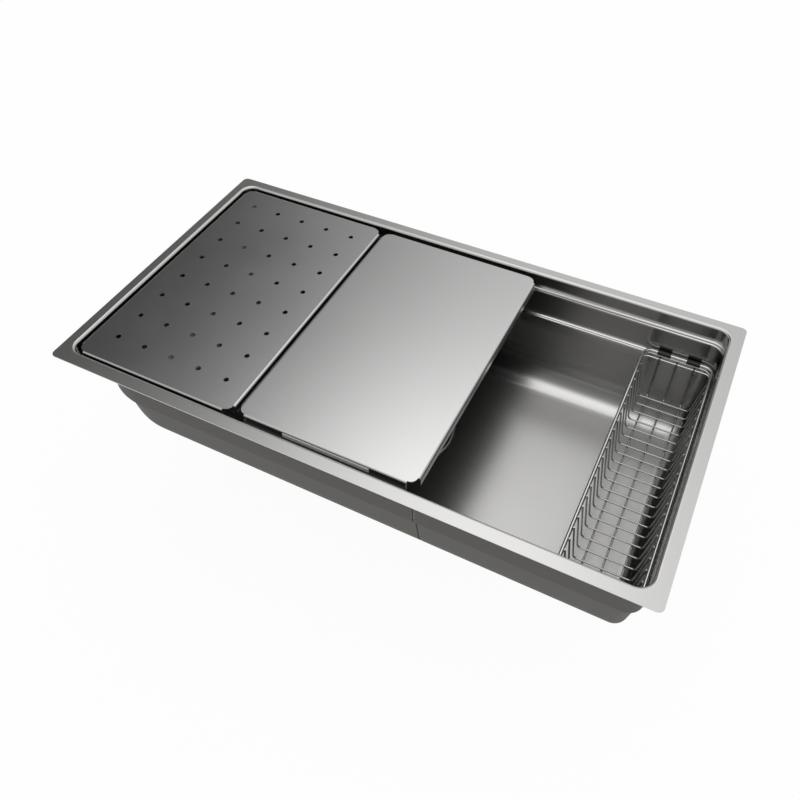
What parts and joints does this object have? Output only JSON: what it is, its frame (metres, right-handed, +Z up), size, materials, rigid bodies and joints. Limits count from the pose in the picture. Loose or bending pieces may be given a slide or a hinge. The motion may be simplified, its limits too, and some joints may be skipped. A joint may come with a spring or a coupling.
{
  "type": "workstation kitchen sink",
  "caption": "Rectangular pressed steel kitchen sink with stepped ledges, sliding plain and perforated cover plates, a hanging wire basket and a wide drain with a lift-out strainer.",
  "frame": {"origin": "centre of the rim plane, in the middle of the flange", "axes": "+X to the right end where the basket hangs, +Y to the rear, +Z up out of the bowl"},
  "size_m": [0.85, 0.4766, 0.3539],
  "materials": {
    "bowl_steel": "fine satin brushed stainless steel",
    "plate_steel": "satin stainless steel, brushed lengthways",
    "drain_steel": "polished stainless steel",
    "wire_steel": "electropolished wire",
    "damping": "matte damping sheet",
    "seal_rubber": "soft black rubber",
    "pot_plastic": "moulded dark plastic",
    "pipe_plastic": "moulded pale plastic",
    "runner_plastic": "matte dark resin",
    "grip_plastic": "matte pale resin",
    "sleeve_plastic": "smooth black resin"
  },
  "bodies": {
    "sink": {"sink_bowl": "bowl_steel", "damping_sheet_left": "damping", "damping_sheet_right": "damping", "drain_seal": "seal_rubber", "drain_flange": "drain_steel", "drain_gasket": "seal_rubber", "drain_pot": "pot_plastic", "outlet_washer": "seal_rubber", "tail_pipe": "pipe_plastic", "outlet_nut": "pot_plastic"},
    "drainer": {"perforated_plate": "plate_steel", "perforated_runner_front": "runner_plastic", "perforated_runner_rear": "runner_plastic"},
    "cover": {"plain_plate": "plate_steel", "plain_runner_front": "runner_plastic", "plain_runner_rear": "runner_plastic", "plate_grip_strip": "grip_plastic"},
    "basket": {"basket_rim": "wire_steel", "basket_inner_loop": "wire_steel", "basket_cross_wires": "wire_steel", "basket_long_wires": "wire_steel", "basket_sleeves": "sleeve_plastic"},
    "strainer": {"strainer_cup": "drain_steel", "strainer_post": "drain_steel", "strainer_nut": "drain_steel"}
  },
  "joints": [
    {"name": "drainer_lift", "type": "slide", "parent": "sink", "child": "drainer", "axis": [0, 0, 1], "range_m": [0, 0.06]},
    {"name": "cover_slide", "type": "slide", "parent": "sink", "child": "cover", "axis": [1, 0, 0], "range_m": [0, 0.28]},
    {"name": "basket_slide", "type": "slide", "parent": "sink", "child": "basket", "axis": [-1, 0, 0], "range_m": [0, 0.6]},
    {"name": "strainer_lift", "type": "slide", "parent": "sink", "child": "strainer", "axis": [0, 0, 1], "range_m": [0, 0.025]}
  ]
}
